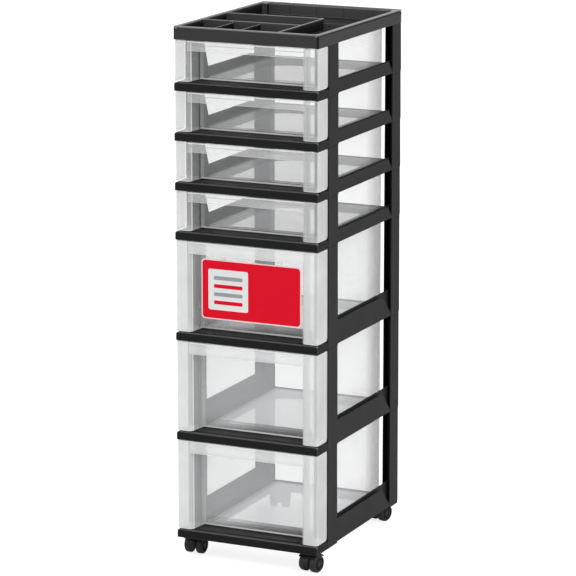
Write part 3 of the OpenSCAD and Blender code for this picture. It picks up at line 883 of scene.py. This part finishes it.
def dress_node(
    frame: dict, node: str, material: Material, edge: float,
    edge_light_and_shade: Material | None = None, clamp: bool = True,
) -> None:
    """Gives a carried-over node its finish and softened edges.

    Args:
        node: the node's name.
        material: its finish.
        edge: width of the edge rounding.
        edge_light_and_shade: finish of the rounded edges, which paints a highlight where it is lighter than
            the faces and shade lines where it is darker; none keeps the same finish.
        clamp: narrows the rounding wherever edges come close together.
    """
    piece = frame["nodes"][node]
    piece.data.materials.clear()
    piece.data.materials.append(material)
    if edge_light_and_shade:
        piece.data.materials.append(edge_light_and_shade)
    soften_edges(piece, edge, 1 if edge_light_and_shade else -1, clamp)
    LOG.info("dressed %s with %s", node, material.name)


# ---------------------------------------------------------------- sub-assemblies


@dataclass
class BlackStack:
    """The opaque stack: tray, shelves and side frames."""

    tray_edge: float = 0.0005
    shelf_edge: float = 0.0009
    frame_edge: float = 0.0005

    def dress(self, frame: dict, palette: Palette) -> None:
        """Dresses every carried-over node of the stack."""
        dress_node(frame, "top_tray", palette.tray, self.tray_edge, palette.tray_edge, clamp=False)
        for node in [f"shelf_{number}" for number in range(1, TIERS)] + ["base_shelf"]:
            dress_node(frame, node, palette.shelf, self.shelf_edge, palette.shelf_edge, clamp=False)
        for side in Side:
            for number in range(1, TIERS + 1):
                node = f"{side.name.lower()}_frame_{number}"
                dress_node(frame, node, palette.side, self.frame_edge, palette.side_edge, clamp=False)


@dataclass
class Drawer:
    """One drawer: a clear shell and a frosted front with two pillars and the handle."""

    number: int
    half: float = 0.1215
    tower_half: float = 0.153
    wall: float = 0.002
    floor: float = 0.0022
    panel_depth: float = 0.048
    panel_overlap: float = 0.001
    pillar_depth: float = 0.045
    pillar_width: float = 0.0335
    flare: float = 0.0065
    inner_radius: float = 0.009
    outer_radius: float = 0.006
    outer_flat: float = 0.012
    foot_radius: float = 0.008
    foot_lift: float = 0.0020
    front_radius: float = 0.002
    rear_radius: float = 0.012
    low: Vector = field(init=False)
    high: Vector = field(init=False)

    def __post_init__(self) -> None:
        """Reads the drawer's box."""
        low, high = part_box(f"drawer_{self.number}")
        self.low, self.high = Vector(low), Vector(high)

    @property
    def tier(self) -> Tier:
        """The drawer's kind."""
        return Tier.of(self.number)

    def body_loop(self, inset: float) -> list[Point]:
        """Plan of the shell, drawn in by an inset."""
        front, rear = self.low.y + self.panel_depth, self.high.y
        return rounded_outline(
            -self.half + inset, self.half - inset, front + inset, rear - inset,
            self.front_radius - inset * 0.5, self.rear_radius - inset,
        )

    def build_shell(self, palette: Palette) -> Piece:
        """Makes the clear box with its rolled rim and the ridge on its bottom."""
        shell = Shell()
        z, top, toe = self.low.z, self.high.z, self.tier.toe
        levels = [(z + up, inset) for up, inset in SHELL_FOOT]
        levels += [(z + up, 0.0) for up, _ in toe]
        levels += [(top + up, inset) for up, inset in SHELL_RIM]
        levels += [(z + self.floor + up, inset) for up, inset in SHELL_FLOOR + SHELL_RIDGE]
        loops = [shell.loop(self.body_loop(inset), height) for height, inset in levels]

        # Both side walls with their rear corners take the wall's slot, which paints the rear post's
        # reflection; the front panel has its toe's bands.
        right = FRONT_SPANS
        left = FRONT_SPANS + REAR_SPANS + 2
        sides = [*range(right, right + REAR_SPANS + 1), *range(left, left + REAR_SPANS + 1)]
        count = len(loops[0])
        walls = [ShellSlot.WALL if i in sides else ShellSlot.CLEAR for i in range(count)]
        foot = len(SHELL_FOOT) - 1
        # The rim slot paints a highlight along a low line of the front and inside the rolled rim.
        front = {foot - 1: ShellSlot.RIM} | {foot + i: slot for i, (_, slot) in enumerate(toe)}
        outside = foot + len(toe) + 2
        rolled = outside + 3
        for step, (low, high) in enumerate(zip(loops, loops[1:])):
            inside = ShellSlot.RIM if step < rolled else ShellSlot.CLEAR
            slots = list(walls) if step < outside else [inside] * count
            slots[-1] = front.get(step, slots[-1])
            shell.bridge(low, high, slots)
        shell.cap(list(reversed(loops[0])), ShellSlot.PAN)
        shell.cap(loops[-1], ShellSlot.PAN)
        tier = self.tier
        materials = [palette.clear[tier], palette.rim, palette.pan[tier], *palette.toe, palette.wall[tier]]
        return shell.finish(f"drawer_{self.number}_shell", materials)

    def pillar_path(self, side: Side, inset: float, rear: float) -> list[Point]:
        """Outer face of a pillar in plan.

        Args:
            side: left or right.
            inset: how far the path is drawn in.
            rear: Y of the pillar's rear edge.

        Returns:
            Points from the outer rear edge to the front panel.
        """
        lean = math.atan2(self.flare, self.panel_depth)
        y0, x1 = self.low.y, self.tower_half
        x0 = x1 - self.pillar_width
        ro, ri = self.outer_radius, self.inner_radius
        cx = x0 + ri * (1 - math.sin(lean)) / math.cos(lean)
        # Each point comes with the direction that faces out there.
        path = [((x1, rear), (1, 0)), ((x1, y0 + ro + self.outer_flat), (1, 0))]
        sweep = 90 - math.degrees(lean)
        for middle, radius, start, turn, spans in (
            ((x1 - ro, y0 + ro), ro, 0, -90, 6), ((cx, y0 + ri), ri, -90, -sweep, 8)
        ):
            out = arc((0.0, 0.0), 1.0, start, start + turn, spans)
            path += [((middle[0] + radius * x, middle[1] + radius * y), (x, y)) for x, y in out]
        end_y = y0 + self.panel_depth + self.panel_overlap
        end = (x0 - (end_y - y0) * math.tan(lean), end_y)
        path.append((end, (-math.cos(lean), -math.sin(lean))))
        return [(side.value * (p[0] - n[0] * inset), p[1] - n[1] * inset) for p, n in path]

    def build_front(self, palette: Palette) -> Piece:
        """Makes the frosted pillars and the handle, whose thin edges carry a painted highlight."""
        shell = Shell()
        for side in Side:
            self.add_pillar(shell, side)
            self.add_seam(shell, side)
        self.add_handle(shell)
        tier = self.tier
        materials = [palette.frosted[tier], palette.cheek[tier], palette.rim, palette.groove, palette.seam]
        materials.append(palette.flank[tier])
        return shell.finish(f"drawer_{self.number}_front", materials)

    def add_pillar(self, shell: Shell, side: Side) -> None:
        """Adds one pillar, rounded at its rear foot, with a plate at its bottom and its top."""
        z, top = self.low.z + self.foot_lift, self.high.z
        rear, r = self.low.y + self.pillar_depth, self.foot_radius
        height = top - z
        steps = [(0.0, 0.0007), (0.0003, 0.0002), (0.0009, 0.0)]
        steps += [(r * (1 - math.cos(math.radians(a))), 0.0) for a in (30, 45, 60, 75, 90)]
        steps += [(height - 0.0016, 0.0), (height - 0.0005, 0.0003), (height, 0.0010)]
        loops = []
        for up, inset in steps:
            back = rear - (r - math.sqrt(max(r * r - (r - up) ** 2, 0.0)) if up < r else 0.0)
            outer, inner = self.pillar_path(side, inset, back), self.pillar_path(side, self.wall, back)
            loops.append(shell.loop(outer + inner[::-1], z + up))

        # Slots from the outer rear edge round the front to the cheek beside the window, and back inside.
        count = len(loops[0])
        half = count // 2
        slots = [FrontSlot.FROSTED] * count
        slots[half - 2 : half + 1] = [FrontSlot.CHEEK] * 3
        # The rim slot paints a highlight beside the cheek, and along the foot and the top on the lined steps.
        slots[half - 4 : half - 2] = [FrontSlot.RIM] * 2
        for i in range(5):
            slots[i] = slots[count - 2 - i] = FrontSlot.FLANK
        lined = [FrontSlot.RIM if i < half - 2 else slot for i, slot in enumerate(slots)]
        for step, (low, high) in enumerate(zip(loops, loops[1:])):
            shell.bridge(low, high, lined if step in (1, 2, len(loops) - 2) else slots)
        shell.cap(list(reversed(loops[0])))
        shell.cap(loops[-1])
        for base, cut in ((z + 0.0009, r), (top - 0.0005 - self.wall, 0.0)):
            plate = self.pillar_path(side, 0.001, rear - cut)
            shell.loft([shell.loop(plate, base), shell.loop(plate, base + self.wall)])

    def add_seam(self, shell: Shell, side: Side) -> None:
        """Adds the thin upright seam half-way along the clear wall beside the window."""
        deep = self.tier is Tier.DEEP
        depth = (0.6 if deep else 0.71) * self.panel_depth
        x = side.value * (self.tower_half - self.pillar_width - depth * self.flare / self.panel_depth)
        y, t = self.low.y + depth, 0.0009
        low, high = self.low.z + 0.004, self.high.z - self.tier.value - 0.001
        outline = [(x - t, y - t), (x + t, y - t), (x + t, y + t), (x - t, y + t)]
        slot = FrontSlot.GROOVE if deep else FrontSlot.SEAM
        shell.loft([shell.loop(outline, z) for z in (low, high)], slot, slot)

    def add_handle(self, shell: Shell) -> None:
        """Adds the handle's flat top and its skirt with the set-back upper band."""
        y0, top, skirt = self.low.y, self.high.z, self.tier.value
        band = skirt * 0.38
        y_in = y0 + self.panel_depth + self.panel_overlap
        face = y0 + 0.001
        profile = [(y_in, top), (face + 0.0022, top), (face + 0.0009, top - 0.0004)]
        profile += [(face + 0.0002, top - 0.0012), (face, top - 0.0024), (face, top - band + 0.0008)]
        profile += [(y0 + 0.0004, top - band), (y0, top - band - 0.0007), (y0, top - skirt + 0.0007)]
        profile += [(y0 + 0.0003, top - skirt + 0.0002), (y0 + 0.0009, top - skirt)]
        profile += [(y0 + 0.0017, top - skirt), (y0 + 0.002, top - skirt + 0.0004)]
        profile += [(y0 + 0.002, top - band - 0.001), (face + 0.002, top - band + 0.0006)]
        profile += [(face + 0.002, top - self.wall - 0.003), (face + 0.003, top - self.wall - 0.0008)]
        profile += [(face + 0.005, top - self.wall), (y_in, top - self.wall)]
        x = self.tower_half - self.pillar_width + self.inner_radius * 0.55
        slots = [FrontSlot.FROSTED] * len(profile)
        # Rim slots paint a highlight on the top edge and the skirt's foot; on shallow drawers the groove slot
        # paints shade under the upper band.
        for i in (1, 2, 3, 8, 9):
            slots[i] = FrontSlot.RIM
        if self.tier is Tier.SHALLOW:
            slots[5] = slots[6] = FrontSlot.GROOVE
        shell.loft([shell.ring([(end, y, z) for y, z in profile]) for end in (-x, x)], slots)

    def build(self, palette: Palette) -> None:
        """Makes both pieces and puts them in the drawer's place."""
        body = f"drawer_{self.number}_body"
        node = f"drawer_{self.number}"
        for piece in (self.build_shell(palette), self.build_front(palette)):
            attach(piece, body)
            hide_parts(node)
            LOG.info("built %s, %d faces", piece.name, len(piece.data.polygons))


@dataclass
class DisplayCard:
    """Plain card on the top deep drawer: red field, pale line and a white panel with plain bars."""

    radius: float = 0.0082
    line: float = 0.0022
    thick: float = 0.0006
    tab_height: float = 0.016
    tab_middle: float = 0.06
    tab_half: float = 0.007
    layer: float = 0.0001

    def plate(
        self, shell: Shell, box: tuple[float, float, float, float], radius: float, y: float, slot: CardSlot
    ) -> None:
        """Adds a thin rounded plate that faces the viewer.

        Args:
            shell: the mesh it goes into.
            box: left, right, bottom and top.
            radius: its corner radius.
            y: Y of its face.
            slot: its material slot.
        """
        outline = rounded_outline(*box, radius, radius)
        front, back = (shell.ring([(x, y + deep, z) for x, z in outline]) for deep in (0.0, self.thick))
        shell.bridge(front, back, slot)
        shell.cap(front, slot)
        shell.cap(list(reversed(back)), slot)

    def build(self, palette: Palette) -> None:
        """Makes the card in the place of its node."""
        low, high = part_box("display_card")
        x0, x1, y, z0, z1 = low[0], high[0], low[1], low[2], high[2] - self.tab_height
        shell = Shell()
        rear = y + 2 * self.layer
        self.plate(shell, (x0, x1, z0, z1), self.radius, rear, CardSlot.KEYLINE)
        i = self.line
        field_box = (x0 + i, x1 - i, z0 + i, z1 - i)
        self.plate(shell, field_box, self.radius - i * 0.6, y + self.layer, CardSlot.RED)
        w, h = x1 - x0, z1 - z0
        panel = (x0 + 0.07 * w, x0 + 0.47 * w, z0 + 0.16 * h, z0 + 0.84 * h)
        self.plate(shell, panel, 0.004, y + self.layer / 2, CardSlot.WHITE)
        for row in range(4):
            base = panel[2] + (0.14 + 0.2 * row) * (panel[3] - panel[2])
            bar = (panel[0] + 0.012, panel[1] - 0.012, base, base + 0.0075)
            self.plate(shell, bar, 0.002, y, CardSlot.GREY if row % 2 else CardSlot.RED)
        for tab in (-self.tab_middle, self.tab_middle):
            middle = (x0 + x1) / 2 + tab
            box = (middle - self.tab_half, middle + self.tab_half, z1 - 0.001, high[2])
            self.plate(shell, box, 0.002, rear, CardSlot.TAB)
        materials = [palette.red, palette.white, palette.grey, palette.keyline]
        materials.append(palette.clear[Tier.DEEP])
        piece = shell.finish("card_face", materials)
        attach(piece, "drawer_5_body")
        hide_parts("display_card")
        LOG.info("built card_face, %d faces", len(piece.data.polygons))


def hub_tree() -> bpy.types.NodeTree:
    """Geometry Nodes tree of the spokes in a wheel's hub: bars round a circle in its own XY plane."""
    tree = bpy.data.node_groups.new("hub_spokes", "GeometryNodeTree")
    sizes = {"Count": 9, "Radius": 0.009, "Length": 0.007, "Width": 0.001, "Height": 0.0016, "Seed": 7}
    for label, default in sizes.items():
        kind = "NodeSocketInt" if isinstance(default, int) else "NodeSocketFloat"
        tree.interface.new_socket(name=label, in_out="INPUT", socket_type=kind).default_value = default
    tree.interface.new_socket(name="Finish", in_out="INPUT", socket_type="NodeSocketMaterial")
    tree.interface.new_socket(name="Geometry", in_out="OUTPUT", socket_type="NodeSocketGeometry")
    sheet = NodeSheet(tree)
    given, out = sheet.add("NodeGroupInput").outputs, sheet.add("NodeGroupOutput")
    ring = sheet.add("GeometryNodeMeshCircle")
    sheet.link(given["Count"], ring.inputs["Vertices"])
    sheet.link(given["Radius"], ring.inputs["Radius"])
    size = sheet.add("ShaderNodeCombineXYZ")
    for axis, label in zip("XYZ", ("Length", "Width", "Height")):
        sheet.link(given[label], size.inputs[axis])
    bar = sheet.add("GeometryNodeMeshCube")
    sheet.link(size.outputs[0], bar.inputs["Size"])
    turn = sheet.add("FunctionNodeAlignEulerToVector", axis="X")
    sheet.link(sheet.add("GeometryNodeInputPosition").outputs[0], turn.inputs["Vector"])
    wear = sheet.add("FunctionNodeRandomValue", data_type="FLOAT")
    wear.inputs[2].default_value, wear.inputs[3].default_value = 0.94, 1.0
    sheet.link(given["Seed"], wear.inputs["Seed"])
    place = sheet.add("GeometryNodeInstanceOnPoints")
    for source, label in ((ring, "Points"), (bar, "Instance"), (turn, "Rotation")):
        sheet.link(source.outputs[0], place.inputs[label])
    sheet.link(wear.outputs[1], place.inputs["Scale"])
    real = sheet.add("GeometryNodeRealizeInstances")
    sheet.link(place.outputs[0], real.inputs[0])
    finish = sheet.add("GeometryNodeSetMaterial")
    sheet.link(real.outputs[0], finish.inputs["Geometry"])
    sheet.link(given["Finish"], finish.inputs["Material"])
    sheet.link(finish.outputs[0], out.inputs["Geometry"])
    return tree


def grown(tree: bpy.types.NodeTree, name: str, **values: object) -> Piece:
    """Evaluates a Geometry Nodes tree once and keeps the result as a plain mesh.

    Args:
        tree: the tree.
        name: the new object's name.
        values: its inputs by name.

    Returns:
        The object, not moved, with no modifiers.
    """
    seed = placed(name + "_seed", bpy.data.meshes.new(name + "_seed"))
    maker = seed.modifiers.new("grow", "NODES")
    maker.node_group = tree
    ids = {item.name: item.identifier for item in tree.interface.items_tree if item.in_out == "INPUT"}
    for label, value in values.items():
        maker[ids[label]] = value
    ready = seed.evaluated_get(bpy.context.evaluated_depsgraph_get())
    data = bpy.data.meshes.new_from_object(ready)
    data.name = name
    seed.modifiers.clear()
    bpy.data.objects.remove(seed)
    return placed(name, data)


@dataclass
class CasterSet:
    """Four twin-wheel casters: carried-over solids, with hub spokes grown by Geometry Nodes."""

    inner: float = 0.0053
    outer: float = 0.0132
    depth: float = 0.0018
    bar_width: float = 0.0011
    spokes: int = 9
    seed: int = 7
    wheel_half: float = 0.0065
    sunk: float = 0.0001
    hood_edge: float = 0.0006
    stem_edge: float = 0.0003
    axle_edge: float = 0.0002
    wheel_edge: float = 0.0004

    def dress(self, frame: dict, palette: Palette) -> None:
        """Dresses every caster and adds its hubs."""
        tree = hub_tree()
        for corner in Corner:
            name = f"caster_{corner.name.lower()}"
            dress_node(frame, f"{name}_hood", palette.caster, self.hood_edge, palette.caster_edge)
            dress_node(frame, f"{name}_stem", palette.steel, self.stem_edge)
            dress_node(frame, f"{name}_axle", palette.steel, self.axle_edge)
            for end in ("in", "out"):
                dress_node(frame, f"{name}_wheel_{end}", palette.tread, self.wheel_edge)
                self.add_hub(tree, corner, end, palette)

    def add_hub(self, tree: bpy.types.NodeTree, corner: Corner, end: str, palette: Palette) -> None:
        """Adds the spokes in the groove of one wheel's outer face.

        Args:
            tree: the spokes' tree.
            corner: which caster.
            end: which of its wheels.
            palette: the finishes.
        """
        wheel = f"caster_{corner.name.lower()}_wheel_{end}"
        low, high = (Vector(v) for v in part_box(wheel))
        hood_low, hood_high = (Vector(v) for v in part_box(f"caster_{corner.name.lower()}_hood"))
        turn = math.radians(corner.value)
        axle = Vector((math.cos(turn), math.sin(turn), 0.0))
        middle, hood = (low + high) / 2, (hood_low + hood_high) / 2
        if (middle - hood).dot(axle) < 0:
            axle.negate()
        piece = grown(
            tree, f"{wheel}_hub", Count=self.spokes, Radius=(self.inner + self.outer) / 2,
            Length=self.outer - self.inner, Width=self.bar_width, Height=self.depth,
            Seed=self.seed, Finish=palette.caster,
        )
        stand = axle.to_track_quat("Z", "Y").to_matrix().to_4x4()
        stand.translation = middle + axle * (self.wheel_half - self.depth / 2 - self.sunk)
        piece.data.transform(stand)
        piece.data.shade_flat()
        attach(piece, f"{wheel}_body")
        LOG.info("built %s, %d faces", piece.name, len(piece.data.polygons))


# -------------------------------------------------------------------- studio


@dataclass
class Studio:
    """Pale floor, soft lights and the camera at the photograph's angle.

    The camera's place is counted from the middle of the base shelf's lower front edge.
    """

    position: Triple = (2.573, -5.387, 1.864)
    turn: float = 0.43191
    tilt: float = 0.22089
    focal: float = 197.09
    floor_tone: float = 0.5
    floor_roughness: float = 0.85

    def build(self) -> None:
        """Makes the floor, the lights and the camera."""
        self.build_floor()
        self.build_world()
        self.add_light("key", (2.3, -1.6, 2.4), (0.0, 0.0, 0.6), 2.2, 38.0)
        self.add_light("fill", (-2.6, -2.2, 1.6), (0.0, 0.0, 0.5), 2.4, 22.0)
        self.add_light("top", (0.2, 0.4, 3.0), (0.0, 0.0, 0.8), 1.8, 36.0)
        self.build_camera()

    def build_floor(self) -> None:
        """Makes the floor, which the camera sees as white with a faint contact shade."""
        shell = Shell()
        edge = rounded_outline(-30.0, 30.0, -30.0, 50.0, 1.0, 1.0)
        shell.cap(shell.loop(edge, -0.0002))
        material, sheet, shader = start_material("floor_white", grey(self.floor_tone), self.floor_roughness)
        shader.inputs["Specular IOR Level"].default_value = 0.1
        shader.inputs["Emission Color"].default_value = (1.0, 1.0, 1.0, 1.0)
        seen = sheet.add("ShaderNodeLightPath").outputs["Is Camera Ray"]
        glow = sheet.math("ADD", sheet.math("MULTIPLY", seen, 0.62), 0.18)
        sheet.link(glow, shader.inputs["Emission Strength"])
        mottle = use_group(sheet, "moulded_grain", Grain_Scale=60.0, Wave_Scale=1.5)
        sheet.link(waved(sheet, mottle, 0.1, self.floor_roughness), shader.inputs["Roughness"])
        floor = shell.finish("floor", [material])

    def build_world(self) -> None:
        """Makes the white surround, brighter above, behind and to the right of the tower."""
        world = bpy.data.worlds.new("surround")
        bpy.context.scene.world = world
        world.use_nodes = True
        sheet = NodeSheet(world.node_tree)
        back = world.node_tree.nodes["Background"]
        back.inputs["Color"].default_value = (1.0, 1.0, 1.0, 1.0)
        x, y, z = sheet.split(sheet.add("ShaderNodeTexCoord").outputs["Generated"])
        lit = 0.45
        for way, share in ((z, 0.35), (y, 0.35), (x, 0.2)):
            lit = sheet.math("ADD", lit, sheet.math("MULTIPLY", way, share, clamp=True))
        seen = sheet.add("ShaderNodeLightPath").outputs["Is Camera Ray"]
        plain = sheet.math("MULTIPLY", sheet.math("SUBTRACT", 1.05, lit), seen)
        sheet.link(sheet.math("ADD", lit, plain), back.inputs["Strength"])

    def add_light(self, name: str, place: Triple, aim: Triple, size: float, power: float) -> None:
        """Adds a square soft light.

        Args:
            name: the light's name.
            place: where it stands.
            aim: the point it looks at.
            size: its side.
            power: its power in watts.
        """
        data = bpy.data.lights.new(name, "AREA")
        data.size = size
        data.energy = power
        lamp = placed(name, data)
        lamp.location = place
        lamp.rotation_mode = "QUATERNION"
        lamp.rotation_quaternion = (Vector(aim) - Vector(place)).to_track_quat("-Z", "Y")

    def build_camera(self) -> None:
        """Makes the camera and names it as the scene's."""
        data = bpy.data.cameras.new("camera")
        data.sensor_width = 36.0
        data.lens = self.focal
        data.clip_start, data.clip_end = 0.1, 60.0
        camera = placed("camera", data)
        low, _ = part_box("base_shelf")
        camera.location = Vector(self.position) + Vector((0.0, low[1], low[2]))
        camera.rotation_euler = (math.pi / 2 - self.tilt, 0.0, self.turn)
        bpy.context.scene.camera = camera
        bpy.context.scene.view_settings.view_transform = "Standard"


def main() -> None:
    """Builds and dresses the whole tower."""
    logging.basicConfig(level=logging.INFO, format="%(message)s")
    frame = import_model()
    palette = Palette()
    BlackStack().dress(frame, palette)
    for number in range(1, TIERS + 1):
        Drawer(number).build(palette)
    DisplayCard().build(palette)
    CasterSet().dress(frame, palette)
    Studio().build()


if __name__ == "__main__":
    main()
